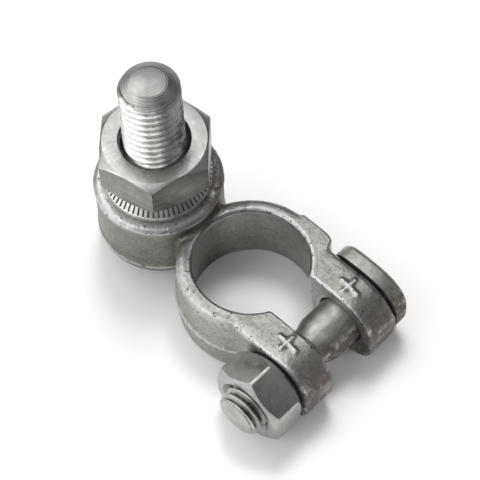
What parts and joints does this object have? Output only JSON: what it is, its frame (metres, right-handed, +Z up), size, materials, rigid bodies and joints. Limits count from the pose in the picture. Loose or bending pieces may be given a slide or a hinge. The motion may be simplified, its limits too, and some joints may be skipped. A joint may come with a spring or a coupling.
{
  "type": "battery terminal clamp",
  "caption": "Split cast collar that grips a tapered battery post, drawn tight by a flat-headed cross bolt, with a threaded stud, ribbed lock washer and nut for the cable lug.",
  "frame": {"origin": "on the axis of the post bore, at the collar's flat underside", "axes": "+Z up along the battery post and the cable stud, +Y from the post to the stud, +X along the clamp bolt towards its flat head"},
  "size_m": [0.0325, 0.0526, 0.0424],
  "materials": {
    "tinned_casting": "tin-plated brass, as cast, dull and pitted",
    "turned_steel": "plated steel, bright turned thread",
    "plated_steel": "plated steel, satin grey"
  },
  "bodies": {
    "clamp": {"clamp_body": "tinned_casting", "stud": "turned_steel"},
    "stud_washer": {"stud_washer": "plated_steel"},
    "stud_nut": {"stud_nut": "plated_steel"},
    "clamp_bolt": {"clamp_bolt": "turned_steel"},
    "clamp_nut": {"clamp_nut": "plated_steel"}
  },
  "joints": [
    {"name": "stud_nut_travel", "type": "slide", "parent": "clamp", "child": "stud_washer", "axis": [0, 0, 1], "range_m": [0, 0.015]},
    {"name": "stud_nut_turn", "type": "hinge", "parent": "stud_washer", "child": "stud_nut", "pos_m": [0, 0.0204, 0.01907], "axis": [0, 0, 1], "range_deg": [0, 3600]},
    {"name": "clamp_bolt_travel", "type": "slide", "parent": "clamp", "child": "clamp_bolt", "axis": [1, 0, 0], "range_m": [0, 0.0075]},
    {"name": "clamp_nut_turn", "type": "hinge", "parent": "clamp", "child": "clamp_nut", "pos_m": [-0.0105, -0.015, 0.0072], "axis": [-1, 0, 0], "range_deg": [0, 2160]}
  ],
  "couplings": [
    {"joint": "stud_nut_travel", "follows": "stud_nut_turn", "m_per_rad": 0.00023873},
    {"joint": "clamp_bolt_travel", "follows": "clamp_nut_turn", "m_per_rad": 0.00019894}
  ]
}
